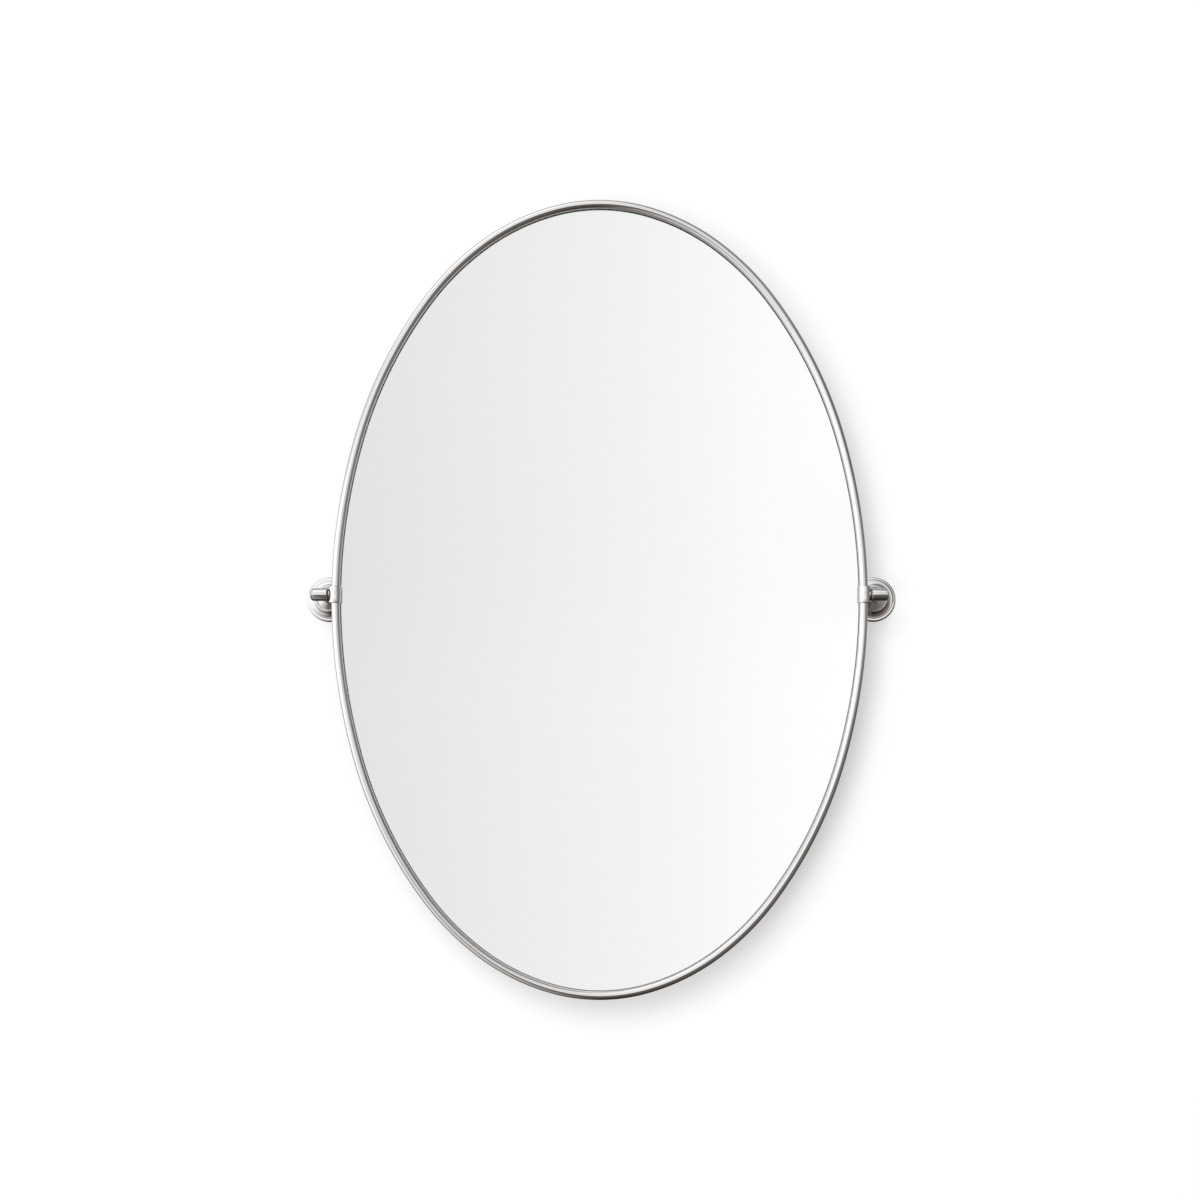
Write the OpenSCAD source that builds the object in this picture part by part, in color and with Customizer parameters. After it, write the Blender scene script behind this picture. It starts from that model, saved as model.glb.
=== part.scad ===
// Oval pivot wall mirror: a plated tube ring with a glass and a backing board behind it,
// held at mid-height by two wall brackets on which it tilts.
// X is to the right, Y goes into the wall, Z is up. The wall is the plane Y = 0, and the
// origin lies on it, midway between the brackets at the height of the pivot line.

/* [Mirror] */
// Width over the frame tube
mirror_w = 612; // [580:1:650]
// Height over the frame tube
mirror_h = 914; // [870:1:960]
// Wall to the pivot line
projection = 64; // [58:1:80]
// Pivot line above the middle of the oval
pivot_rise = 4.5; // [0:0.5:8]

/* [Frame] */
// Outer diameter of the frame tube
tube_d = 9.8; // [9.4:0.1:11]
// Wall of the frame tube
tube_wall = 1.2; // [1:0.1:1.5]
// Thickness of the strip welded behind the tube
band_t = 1.5; // [1:0.1:2]
// Width of that strip, front to back
band_w = 10; // [9.5:0.1:12]

/* [Glass] */
// Thickness of the mirror glass
glass_t = 4; // [3:0.1:5]
// Free width between the tube and the glass edge
glass_edge_gap = 0.3; // [0.3:0.1:0.8]
// Thickness of the mounting tape
tape_t = 0.5; // [0.4:0.1:0.8]
// Width of a strip of mounting tape
tape_w = 25; // [15:1:35]
// Distance between neighbouring strips
tape_pitch = 120; // [80:1:130]

/* [Backing] */
// Thickness of the backing board
board_t = 6; // [5:0.1:6.5]
// Free width between the board and the strip behind the tube
board_edge_gap = 1.35; // [1.2:0.05:2]
// Height of the rubber gasket round the glass
gasket_t = 1.1; // [0.8:0.1:1.3]
// Width of a retaining tab
tab_w = 10; // [8:1:14]
// Reach of a retaining tab over the board
tab_reach = 16; // [12:1:22]
// Sheet thickness of a retaining tab
tab_t = 1; // [0.8:0.1:1.5]
// Shank radius of a tab screw
tab_screw_r = 1.5; // [1.2:0.1:1.8]
// Length of a tab screw under its head
tab_screw_len = 5.5; // [4.5:0.5:6]
// Radius of a wall bumper
bumper_r = 6; // [5:0.5:8]
// Height of a wall bumper
bumper_h = 9.5; // [6:0.5:12]
// Bumper centre from the upright middle line
bumper_x = 70; // [40:1:80]
// Bumper centre inside the top or bottom of the oval
bumper_inset = 47; // [40:1:80]

/* [Pivot saddle] */
// Height of the saddle round the tube
saddle_h = 19.4; // [14:0.1:26]
// Outer radius of the saddle
saddle_r = 7.1; // [6.9:0.1:8]
// Saddle axis outside the tube axis
saddle_offset = 0.8; // [0.6:0.1:1.6]
// Radius of the round bearing boss on the saddle
saddle_boss_r = 5.2; // [4:0.1:6]
// Length of the threaded slug inside the tube
insert_len = 18; // [12:1:26]
// Shank radius of the pivot screw
pivot_screw_r = 2.5; // [2:0.1:2.7]

/* [Bracket barrel] */
// Outer radius of the barrel
barrel_r = 7.25; // [6.9:0.05:8.5]
// Length of the barrel
barrel_len = 15.9; // [14:0.1:20]
// Outer radius of the nylon bush
bush_r = 4.2; // [3.9:0.1:4.6]
// Thickness of the nylon friction washer
washer_t = 1.6; // [1:0.1:2.5]
// Radius of the nylon friction washer
washer_r = 6.4; // [5.5:0.1:6.8]
// Thickness of the spring washer
spring_t = 1.3; // [1:0.1:1.6]
// Head radius of the pivot screw
head_r = 4.4; // [3.8:0.1:4.6]
// Head height of the pivot screw
head_h = 3.1; // [2.5:0.1:3.1]
// Length of the end cap
cap_len = 4; // [3.4:0.1:6]

/* [Post and rosette] */
// Radius of the post
post_r = 5; // [4.5:0.1:6]
// How far the collar at the foot of the post stands out round it
collar_step = 1.4; // [1:0.1:2.5]
// Length of that collar
collar_len = 4.6; // [3:0.1:8]
// Radius of the rosette at the wall
rosette_r = 26.2; // [25.2:0.1:30]
// Thickness of the rosette's flange
flange_t = 3.4; // [3.2:0.1:5]
// Radius of the raised step on the flange
step_r = 22.6; // [22.2:0.1:23.6]
// Height of the step above the flange
step_h = 2; // [1.5:0.1:3]
// Radius of the hollow sweep above the step
cove_r = 6; // [5.4:0.1:6.4]
// Radius of the round bead at the rim of the rosette
bead_r = 1.5; // [1:0.1:2]
// Rise of the cone from that bead to the foot of the post
cone_rise = 2.2; // [0:0.1:3]
// Shank radius of the screw that holds the post
post_screw_r = 2.5; // [2:0.1:2.7]

/* [Wall plate] */
// Front radius of the wall plate
plate_r = 18.3; // [17.8:0.1:18.6]
// Thickness of the wall plate
plate_t = 4.6; // [4:0.1:4.9]
// Distance between the two wall screw holes
wall_hole_spacing = 25; // [22:0.5:26]
// Radius of a wall screw hole
wall_hole_r = 2.25; // [1.8:0.05:2.5]
// Radius of the rosette's set screw
set_screw_r = 1; // [0.8:0.05:1.2]

/* [Hidden] */
$fn = 64;
RIGHT = 1;
LEFT = -1;
NICKEL = [0.79, 0.78, 0.76];
ZINC = [0.66, 0.68, 0.70];
GLASS = [0.90, 0.92, 0.93];
BOARD = [0.16, 0.15, 0.14];
RUBBER = [0.08, 0.08, 0.08];
NYLON = [0.20, 0.20, 0.20];
FOAM = [0.85, 0.85, 0.82];

// Clearances
fit = 0.05;          // bought fasteners in their holes
run = 0.08;          // round pieces that turn in each other
face_play = 0.1;     // flat faces that slide on each other
tube_play = 0.15;    // saddle and slug on the bent tube
weld_play = 0.05;    // welded and glued pieces
loose = 0.3;         // pieces that only have to pass each other
edge_round = 0.6;    // rounding on turned edges
flange_round = 2;    // rounding on the rosette's outer edge
step_round = 1;      // rounding on the rosette's step
saddle_round = 1;    // rounding on the ends of the saddle
over = 1;            // how far a cut runs past the face it opens

// The oval is drawn by five circular arcs a quarter, which pass into each other without a
// corner. They change where the outward normal has these whole-number slopes, so that the
// centres come out as round numbers and the arcs meet exactly.
tube_r = tube_d / 2;
oval_a = mirror_w / 2 - tube_r;
oval_b = mirror_h / 2 - tube_r;
slopes = [[24, 7], [4, 3], [3, 4], [7, 24]];
turns = concat([0], [for (s = slopes) atan2(s.y, s.x)], [90]);
// The middle arcs against the ellipse's own curvature, which keeps the outline within 0.3 mm of it
ease = [1.01, 0.94, 1.03];
last = len(turns) - 2;
radius_steps = 40;

function total(list, i = 0) = i < len(list) ? list[i] + total(list, i + 1) : 0;
function to_step(r) = round(r * radius_steps) / radius_steps;
function unit(angle) = [cos(angle), sin(angle)];
function ellipse_bend(t) =
    pow(oval_a * oval_b, 2) / pow(pow(oval_a * cos(t), 2) + pow(oval_b * sin(t), 2), 1.5);
function width_share(i) = cos(turns[i]) - cos(turns[i + 1]);
function height_share(i) = sin(turns[i + 1]) - sin(turns[i]);

middle_radii = [for (i = [1:last - 1]) to_step(ease[i - 1] * ellipse_bend((turns[i] + turns[i + 1]) / 2))];
// The side arc and the end arc close the quarter at its half width and half height
width_left = oval_a - total([for (i = [1:last - 1]) middle_radii[i - 1] * width_share(i)]);
height_left = oval_b - total([for (i = [1:last - 1]) middle_radii[i - 1] * height_share(i)]);
closing = width_share(0) * height_share(last) - width_share(last) * height_share(0);
side_radius = to_step((width_left * height_share(last) - height_left * width_share(last)) / closing);
end_radius = to_step((height_left * width_share(0) - width_left * height_share(0)) / closing);
radii = concat([side_radius], middle_radii, [end_radius]);
half_w = total([for (i = [0:last]) radii[i] * width_share(i)]);
half_h = total([for (i = [0:last]) radii[i] * height_share(i)]);

function centre(i) =
    i == 0 ? [half_w - radii[0], 0] : centre(i - 1) + (radii[i - 1] - radii[i]) * unit(turns[i]);
// The quarter's middle arcs seen in quarter q: odd quarters run the other way
function quarter_arc(i, q) = [
    [(q == 0 || q == 3 ? 1 : -1) * centre(i).x, (q < 2 ? 1 : -1) * centre(i).y],
    radii[i],
    q % 2 == 1 ? (q + 1) * 90 - turns[i + 1] : q * 90 + turns[i],
    q % 2 == 1 ? (q + 1) * 90 - turns[i] : q * 90 + turns[i + 1]
];
// Every arc of the tube's centre line: its centre, its radius, its first and its last angle
arcs = concat(
    [for (q = [0, 180]) [[cos(q) * centre(0).x, 0], radii[0], q - turns[1], q + turns[1]]],
    [for (q = [90, 270])
        [[0, sin(q) * centre(last).y], radii[last], q - 90 + turns[last], q + 90 - turns[last]]],
    [for (i = [1:last - 1], q = [0:3]) quarter_arc(i, q)]
);
function on_arc(arc, angle, offset) = arc[0] + (arc[1] + offset) * unit(angle);
// A place in the first quarter, by the direction of its outward normal
function arc_index(angle, i = 0) = angle <= turns[i + 1] ? i : arc_index(angle, i + 1);
function on_quarter(angle, offset) =
    centre(arc_index(angle)) + (radii[arc_index(angle)] + offset) * unit(angle);
// Half the tube's width at a depth behind its middle plane
function tube_reach(depth) = sqrt(max(0, tube_r * tube_r - depth * depth));

// Sector outlines reach this far in and out from the tube's centre line
sector_reach = 24;
sweep_depth = 40;
core_points = 72;

// Depths behind the middle plane of the tube
band_front = tube_r + weld_play;
band_back = band_front + band_w;
board_standoff = 0.6;
board_front = tube_r + board_standoff;
board_back = board_front + board_t;
glass_back = board_front - tape_t;
glass_front = glass_back - glass_t;
gasket_front = board_front - gasket_t;
tab_back = board_back + tab_t;
bumper_back = board_back + bumper_h;

// Outlines, as offsets from the tube's centre line
glass_offset = -(tube_r + glass_edge_gap);
board_offset = -(band_t / 2 + board_edge_gap);
gasket_outer = -(tube_reach(gasket_front) + tube_play);
gasket_inner = glass_offset + loose;
tab_offset = -(band_t / 2 + weld_play);

// Tape strips, retaining tabs and bumpers
tape_count = 4;
tape_fill = 0.8;
tab_turns = [22, 64];
tab_screw_inset = 5;
tab_head_r = 3;
tab_head_h = 1.8;
tab_head_taper = 0.5;
bumper_taper = 1;

// Along the pivot line, from the middle of the object outwards
pivot_x = centre(0).x + sqrt(pow(radii[0], 2) - pow(pivot_rise, 2));
tube_lean = asin(pivot_rise / radii[0]);
boss_rise = 0.4;
saddle_room = 0.4;
saddle_face = pivot_x + saddle_offset + saddle_r;
washer_x = saddle_face + face_play;
barrel_x = washer_x + washer_t;
barrel_end = barrel_x + barrel_len;
post_x = barrel_x + barrel_len / 2;
insert_r = tube_r - tube_wall - loose;
// The pivot screw stops inside the slug's round back
screw_reach = sqrt(pow(insert_r, 2) - pow(pivot_screw_r, 2));
head_room = spring_t + face_play + head_h + loose;
cap_plug_len = 1.2;
counterbore_x = barrel_end - cap_plug_len - head_room;
head_side_room = 0.8;
counterbore_r = head_r + head_side_room;
head_x = counterbore_x + spring_t + face_play;
hex_across = 4;
hex_depth = 2;
cap_groove = 0.6;
cap_neck_step = 0.85;
cap_neck_r = barrel_r - cap_neck_step;
cap_step = 0.25;
cap_r = barrel_r - cap_step;
cap_edge = 0.6;

collar_r = post_r + collar_step;

// Heights of the rosette above the wall
step_top = flange_t + step_h;
floor_h = step_top + cove_r;
bead_rise = 0.8;
bead_h = floor_h + bead_rise;
cove_x = step_r - step_round;
bead_overhang = 0.2;
bead_x = cove_x - cove_r - bead_r + bead_overhang;
cone_h = floor_h + cone_rise;
floor_t = 3.2;
ceiling_h = floor_h - floor_t;
socket_depth = 2;
plate_bevel = 0.7;
plate_room_r = plate_r + loose;
plate_room_h = plate_t + 2 * loose;
head_room_r = 7.5;
post_head_r = 4.4;
post_head_h = 2.6;
post_thread = 14;
spigot_r = 4;
tenon_r = 3.5;
tenon_len = 1.7;
set_screw_h = flange_t / 2;
set_screw_tip = plate_r - plate_bevel * (1 - set_screw_h / plate_t) + face_play;
set_screw_len = 5.5;

// The mirror tilts until its bumpers, bottom or top, touch the wall
bumper_z = half_h - bumper_inset;
function wall_touch(reach) =
    asin(projection / norm([reach, bumper_back])) - atan2(bumper_back, reach);
tilt_forward = wall_touch(bumper_z + pivot_rise + bumper_r);
tilt_back = wall_touch(bumper_z - pivot_rise + bumper_r);
echo(tilt_forward = tilt_forward, tilt_back = tilt_back, post_x = post_x, pivot_x = pivot_x);

// ---- Places ----

// The oval's own place: its middle, in the tube's middle plane
module at_mirror() {
    translate([0, -projection, -pivot_rise]) children();
}

// Flat pieces are drawn face on and lie between two depths behind the tube's middle plane
module between(front, back) {
    rotate([90, 0, 0]) translate([0, 0, -back]) linear_extrude(back - front) children();
}

module four_quarters() {
    for (x = [0, 1], z = [0, 1]) {
        mirror([x, 0, 0]) mirror([0, 0, z]) children();
    }
}

module on_side(side) {
    mirror([side < 0 ? 1 : 0, 0, 0]) children();
}

// Round pieces are turned from a half profile: x is the radius, y runs along the axis
module turned_on_pivot(start) {
    translate([start, -projection, 0]) rotate([0, 90, 0]) rotate_extrude() children();
}

module turned_on_post(start = 0) {
    translate([post_x, -start, 0]) rotate([90, 0, 0]) rotate_extrude() children();
}

// The half profile of a disc whose top edge alone is rounded
module rounded_disc(r, height, round) {
    square([r, height - round]);
    square([r - round, height]);
    intersection() {
        translate([r - round, height - round]) circle(r = round);
        square([r, height]);
    }
}

// The half profile of a bar with rounded edges at both ends
module rounded_bar(r, length, round = edge_round) {
    square([r - round, length]);
    translate([0, round]) square([r, length - 2 * round]);
    for (y = [round, length - round]) {
        intersection() {
            translate([r - round, y]) circle(r = round);
            square([r, length]);
        }
    }
}

module along_pivot(start, end, r) {
    translate([start, -projection, 0]) rotate([0, 90, 0]) cylinder(r = r, h = end - start);
}

module along_post(start, end, r) {
    translate([post_x, -start, 0]) rotate([90, 0, 0]) cylinder(r = r, h = end - start);
}

// ---- The oval ----

module sector(arc) {
    polygon([
        on_arc(arc, arc[2], -sector_reach),
        on_arc(arc, arc[2], sector_reach),
        on_arc(arc, (arc[2] + arc[3]) / 2, 3 * sector_reach),
        on_arc(arc, arc[3], sector_reach),
        on_arc(arc, arc[3], -sector_reach)
    ]);
}

// Sweeps a profile round the oval: x outwards from the centre line, y to the front
module round_the_oval() {
    for (arc = arcs) {
        rotate([90, 0, 0]) intersection() {
            translate(arc[0]) rotate_extrude($fn = 360) translate([arc[1], 0]) children();
            translate([0, 0, -sweep_depth]) linear_extrude(2 * sweep_depth) sector(arc);
        }
    }
}

// A filled oval whose edge lies this far outside the tube's centre line
module oval(offset) {
    for (arc = arcs) {
        intersection() {
            translate(arc[0]) circle(r = arc[1] + offset, $fn = 360);
            sector(arc);
        }
    }
    core_inset = 0.7 * sector_reach;
    polygon([for (i = [0:core_points - 1]) let (angle = 360 * i / core_points)
        [(half_w - core_inset) * cos(angle), (half_h - core_inset) * sin(angle)]]);
}

// ---- Mirror ----

module frame_tube() {
    color(NICKEL) difference() {
        at_mirror() round_the_oval() difference() {
            circle(r = tube_r);
            circle(r = tube_r - tube_wall);
        }
        for (side = [LEFT, RIGHT]) {
            on_side(side) along_pivot(pivot_x, pivot_x + 2 * tube_r, pivot_screw_r + loose);
        }
    }
}

module rear_band() {
    color(NICKEL) at_mirror() round_the_oval()
        translate([-band_t / 2, -band_back]) square([band_t, band_w]);
}

module mirror_glass() {
    color(GLASS) at_mirror() between(glass_front, glass_back) oval(glass_offset);
}

// Upright strips, longer in the middle where the oval is taller
module mounting_tape() {
    color(FOAM) at_mirror() between(glass_back, board_front) {
        for (i = [0:tape_count - 1]) {
            x = (i - (tape_count - 1) / 2) * tape_pitch;
            half_len = tape_fill * half_h * sqrt(1 - pow((abs(x) + tape_w / 2) / half_w, 2));
            translate([x - tape_w / 2, -half_len]) square([tape_w, 2 * half_len]);
        }
    }
}

module glazing_gasket() {
    color(RUBBER) at_mirror() round_the_oval()
        translate([gasket_inner, -board_front]) square([gasket_outer - gasket_inner, gasket_t]);
}

// Puts children at each retaining tab: x outwards, y along the rim, z to the back
module at_tabs(offset) {
    four_quarters() for (angle = tab_turns) {
        place = on_quarter(angle, offset);
        translate([place.x, 0, place.y]) rotate([0, -angle, 0]) rotate([-90, 0, 0]) children();
    }
}

module tab_screw_holes(r, from, to) {
    at_tabs(tab_offset - tab_reach + tab_screw_inset)
        translate([0, 0, from]) cylinder(r = r, h = to - from);
}

module backing_board() {
    color(BOARD) at_mirror() difference() {
        between(board_front, board_back) oval(board_offset);
        tab_screw_holes(tab_screw_r + fit, tab_back - tab_screw_len - loose, tab_back);
    }
}

// Sheet angles welded inside the strip and folded over the back of the board
module retaining_tabs() {
    color(ZINC) at_mirror() difference() {
        at_tabs(tab_offset) {
            translate([-tab_reach, -tab_w / 2, board_back]) cube([tab_reach, tab_w, tab_t]);
            translate([-tab_t, -tab_w / 2, board_back]) cube([tab_t, tab_w, band_back - board_back]);
        }
        tab_screw_holes(tab_screw_r + 2 * fit, board_back - loose, tab_back + loose);
    }
}

module tab_screws() {
    recess_len = 1.15 * tab_head_r;
    recess_w = 0.25 * tab_head_r;
    recess_depth = 0.6 * tab_head_h;
    color(ZINC) at_mirror() at_tabs(tab_offset - tab_reach + tab_screw_inset) difference() {
        union() {
            translate([0, 0, tab_back])
                cylinder(r1 = tab_head_r, r2 = tab_head_r - tab_head_taper, h = tab_head_h);
            translate([0, 0, tab_back - tab_screw_len]) cylinder(r = tab_screw_r, h = tab_screw_len + fit);
        }
        for (turn = [0, 90]) {
            translate([0, 0, tab_back + tab_head_h - recess_depth]) rotate(turn)
                translate([-recess_len / 2, -recess_w / 2]) cube([recess_len, recess_w, tab_head_h]);
        }
    }
}

module wall_bumpers() {
    color(RUBBER) at_mirror() four_quarters()
        translate([bumper_x, board_back, bumper_z]) rotate([-90, 0, 0])
            cylinder(r1 = bumper_r, r2 = bumper_r - bumper_taper, h = bumper_h);
}

// ---- Pivot ----

// Upright and leaning with the tube where the pivot line crosses it
module at_pivot() {
    translate([pivot_x, -projection, 0]) children();
}

module pivot_saddle() {
    inner_stop = glass_front - saddle_room;
    color(NICKEL) difference() {
        union() {
            intersection() {
                at_pivot() translate([saddle_offset, 0, -saddle_h / 2])
                    rotate_extrude() rounded_bar(saddle_r, saddle_h, saddle_round);
                translate([0, -projection - barrel_r, -saddle_h])
                    cube([saddle_face - boss_rise, 2 * barrel_r, 2 * saddle_h]);
            }
            along_pivot(pivot_x + tube_r / 2, saddle_face, saddle_boss_r);
        }
        at_pivot() rotate([0, -tube_lean, 0])
            cylinder(r = tube_r + tube_play, h = 2 * saddle_h, center = true);
        // Open at the back, past the glass and the strip welded behind the tube
        translate([0, inner_stop - projection, -saddle_h])
            cube([pivot_x + band_t / 2 + saddle_room, 2 * saddle_r, 2 * saddle_h]);
        along_pivot(pivot_x, saddle_face + loose, pivot_screw_r + fit);
    }
}

module pivot_insert() {
    color(ZINC) difference() {
        at_pivot() rotate([0, -tube_lean, 0]) cylinder(r = insert_r, h = insert_len, center = true);
        along_pivot(pivot_x - 2 * insert_r, pivot_x + 2 * insert_r, pivot_screw_r + fit);
    }
}

module pivot_screw() {
    color(ZINC) difference() {
        union() {
            along_pivot(pivot_x - screw_reach, head_x + fit, pivot_screw_r);
            along_pivot(head_x, head_x + head_h, head_r);
        }
        translate([head_x + head_h - hex_depth, -projection, 0]) rotate([0, 90, 0])
            cylinder(d = hex_across / cos(30), h = 2 * hex_depth, $fn = 6);
    }
}

// ---- Bracket ----

module barrel() {
    color(NICKEL) difference() {
        turned_on_pivot(barrel_x) rounded_bar(barrel_r, barrel_len);
        along_pivot(barrel_x - loose, barrel_end, bush_r + fit);
        along_pivot(counterbore_x, barrel_end + loose, counterbore_r);
        along_post(0, projection - barrel_r + tenon_len + fit, tenon_r + fit);
    }
}

module pivot_bush() {
    color(NYLON) difference() {
        along_pivot(barrel_x, counterbore_x, bush_r);
        along_pivot(barrel_x - loose, counterbore_x + loose, pivot_screw_r + run);
    }
}

module friction_washer() {
    color(NYLON) difference() {
        along_pivot(washer_x, barrel_x, washer_r);
        along_pivot(washer_x - loose, barrel_x + loose, pivot_screw_r + run);
    }
}

module spring_washer() {
    slit = 0.8;
    slit_skew = 20;
    color(ZINC) difference() {
        along_pivot(counterbore_x, counterbore_x + spring_t, head_r);
        along_pivot(counterbore_x - loose, counterbore_x + 2 * spring_t, pivot_screw_r + run);
        translate([counterbore_x - loose, -projection - slit / 2, 0])
            rotate([slit_skew, 0, 0]) cube([2 * spring_t, slit, 2 * head_r]);
    }
}

// A plug in the barrel's mouth, a narrow neck that shows as a groove, and a low dome
module end_cap() {
    color(NICKEL) {
        along_pivot(barrel_end - cap_plug_len, barrel_end, counterbore_r - fit);
        along_pivot(barrel_end, barrel_end + cap_groove, cap_neck_r);
        turned_on_pivot(barrel_end + cap_groove) dome_profile(cap_r, cap_edge, cap_len - cap_groove);
    }
}

module dome_profile(r, edge, height) {
    rise = height - edge;
    dome_r = (r * r + rise * rise) / (2 * rise);
    square([r, edge]);
    intersection() {
        translate([0, height - dome_r]) circle(r = dome_r);
        square([r, height]);
    }
}

// The post's foot is a rounded collar, which runs into the post in a small hollow
module post_profile() {
    hollow_r = collar_step - edge_round;
    rounded_bar(collar_r, collar_len);
    square([post_r, projection - floor_h]);
    difference() {
        square([post_r + hollow_r, collar_len + hollow_r]);
        translate([post_r + hollow_r, collar_len + hollow_r]) circle(r = hollow_r);
    }
}

module post() {
    color(NICKEL) difference() {
        union() {
            difference() {
                turned_on_post(floor_h) post_profile();
                along_pivot(barrel_x - barrel_r, barrel_end + barrel_r, barrel_r + fit);
            }
            along_post(floor_h, projection - barrel_r + tenon_len, tenon_r);
            along_post(floor_h - socket_depth + fit, floor_h, spigot_r);
        }
        along_post(0, floor_h + post_thread, post_screw_r + fit);
    }
}

module rosette_profile() {
    difference() {
        union() {
            rounded_disc(rosette_r, flange_t, flange_round);
            rounded_disc(step_r, step_top, step_round);
            square([cove_x, floor_h]);
            polygon([[0, floor_h], [bead_x, floor_h], [collar_r, cone_h], [0, cone_h]]);
            translate([bead_x, bead_h]) circle(r = bead_r);
        }
        translate([cove_x, floor_h]) circle(r = cove_r);
    }
}

module rosette() {
    color(NICKEL) difference() {
        turned_on_post() rosette_profile();
        along_post(-over, plate_room_h, plate_room_r);
        along_post(0, ceiling_h, head_room_r);
        along_post(floor_h - socket_depth, floor_h + over, spigot_r + fit);
        along_post(floor_h, cone_h + over, collar_r + loose);
        along_post(0, floor_h, post_screw_r + loose);
        translate([post_x, -set_screw_h, -rosette_r - over]) cylinder(r = set_screw_r + fit, h = rosette_r);
    }
}

module set_screw() {
    color(ZINC) translate([post_x, -set_screw_h, -set_screw_tip - set_screw_len]) difference() {
        cylinder(r = set_screw_r, h = set_screw_len);
        translate([0, 0, -over]) cylinder(r = set_screw_r / 2, h = over + set_screw_r, $fn = 6);
    }
}

module post_screw() {
    color(ZINC) difference() {
        union() {
            along_post(ceiling_h - post_head_h, ceiling_h, post_head_r);
            along_post(ceiling_h - fit, floor_h + post_thread - loose, post_screw_r);
        }
        translate([post_x, 0, 0]) rotate([90, 0, 0])
            cylinder(d = hex_across / cos(30), h = ceiling_h - post_head_h + hex_depth, $fn = 6);
    }
}

// Thinner at its back edge, so that the set screw draws the rosette to the wall
module wall_plate() {
    sink_r = 2 * wall_hole_r;
    color(ZINC) difference() {
        translate([post_x, 0, 0]) rotate([90, 0, 0])
            cylinder(r1 = plate_r - plate_bevel, r2 = plate_r, h = plate_t);
        for (z = [-1, 1]) {
            translate([post_x, 0, z * wall_hole_spacing / 2]) rotate([90, 0, 0]) {
                translate([0, 0, -over]) cylinder(r = wall_hole_r, h = plate_t + 2 * over);
                translate([0, 0, plate_t - wall_hole_r])
                    cylinder(r1 = wall_hole_r, r2 = sink_r, h = wall_hole_r);
            }
        }
    }
}

// ---- Output ----

frame_tube();
rear_band();
mirror_glass();
mounting_tape();
glazing_gasket();
backing_board();
retaining_tabs();
tab_screws();
wall_bumpers();
on_side(LEFT) pivot_saddle();  // pivot_saddle_left
on_side(RIGHT) pivot_saddle();  // pivot_saddle_right
on_side(LEFT) pivot_insert();  // pivot_insert_left
on_side(RIGHT) pivot_insert();  // pivot_insert_right
on_side(LEFT) pivot_screw();  // pivot_screw_left
on_side(RIGHT) pivot_screw();  // pivot_screw_right
on_side(LEFT) wall_plate();  // wall_plate_left
on_side(RIGHT) wall_plate();  // wall_plate_right
on_side(LEFT) rosette();  // rosette_left
on_side(RIGHT) rosette();  // rosette_right
on_side(LEFT) set_screw();  // set_screw_left
on_side(RIGHT) set_screw();  // set_screw_right
on_side(LEFT) post();  // post_left
on_side(RIGHT) post();  // post_right
on_side(LEFT) post_screw();  // post_screw_left
on_side(RIGHT) post_screw();  // post_screw_right
on_side(LEFT) barrel();  // barrel_left
on_side(RIGHT) barrel();  // barrel_right
on_side(LEFT) pivot_bush();  // pivot_bush_left
on_side(RIGHT) pivot_bush();  // pivot_bush_right
on_side(LEFT) friction_washer();  // friction_washer_left
on_side(RIGHT) friction_washer();  // friction_washer_right
on_side(LEFT) spring_washer();  // spring_washer_left
on_side(RIGHT) spring_washer();  // spring_washer_right
on_side(LEFT) end_cap();  // end_cap_left
on_side(RIGHT) end_cap();  // end_cap_right
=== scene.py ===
"""Oval pivot wall mirror: polished nickel tube frame, silvered glass, and two wall brackets."""
import math

import bmesh
import bpy
from bpy.props import FloatProperty, FloatVectorProperty, IntProperty, PointerProperty
from mathutils import Matrix, Vector


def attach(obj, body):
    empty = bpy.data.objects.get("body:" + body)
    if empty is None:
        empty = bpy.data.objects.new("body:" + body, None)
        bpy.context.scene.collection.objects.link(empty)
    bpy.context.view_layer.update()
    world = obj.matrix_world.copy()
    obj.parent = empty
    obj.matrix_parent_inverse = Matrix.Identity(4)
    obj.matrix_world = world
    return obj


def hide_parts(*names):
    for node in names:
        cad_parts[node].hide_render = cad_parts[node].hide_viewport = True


bl_info = {
    "name": "Oval Pivot Wall Mirror",
    "version": (1, 0, 0),
    "blender": (4, 5, 0),
    "location": "View3D > Sidebar > Mirror",
    "description": "Builds an oval pivot mirror with its brackets, finishes, wall, light and camera",
    "category": "Object",
}

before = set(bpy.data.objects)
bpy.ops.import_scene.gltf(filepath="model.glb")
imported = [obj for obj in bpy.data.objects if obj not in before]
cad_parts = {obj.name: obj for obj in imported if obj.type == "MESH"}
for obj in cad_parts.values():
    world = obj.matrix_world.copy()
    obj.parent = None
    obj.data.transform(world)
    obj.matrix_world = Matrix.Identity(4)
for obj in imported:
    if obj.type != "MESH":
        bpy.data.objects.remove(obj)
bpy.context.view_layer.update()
SIDES = {"left": -1, "right": 1}
MM = 0.001
# Places nearer to each other than this count as one
HAIR = 0.01 * MM
# Points nearer than this are joined in a finished piece, and where two swept arcs meet
MERGE = 0.001 * MM
SEAM = 0.02 * MM
# A face with more corners than this is the flat front or back of an oval piece
MANY_CORNERS = 64
# Corners of the frame tube's round section
TUBE_CORNERS = 64

# From the front straight to the wall
AHEAD = Vector((0, 1, 0))


# ---- Sizes and colours that a user may change ----


def length(name, description, default, **more):
    return FloatProperty(
        name=name, description=description, default=default * MM, unit="LENGTH", precision=5, **more
    )


def colour(name, description, default):
    return FloatVectorProperty(
        name=name, description=description, default=default, subtype="COLOR", size=3, min=0, max=1
    )


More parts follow.
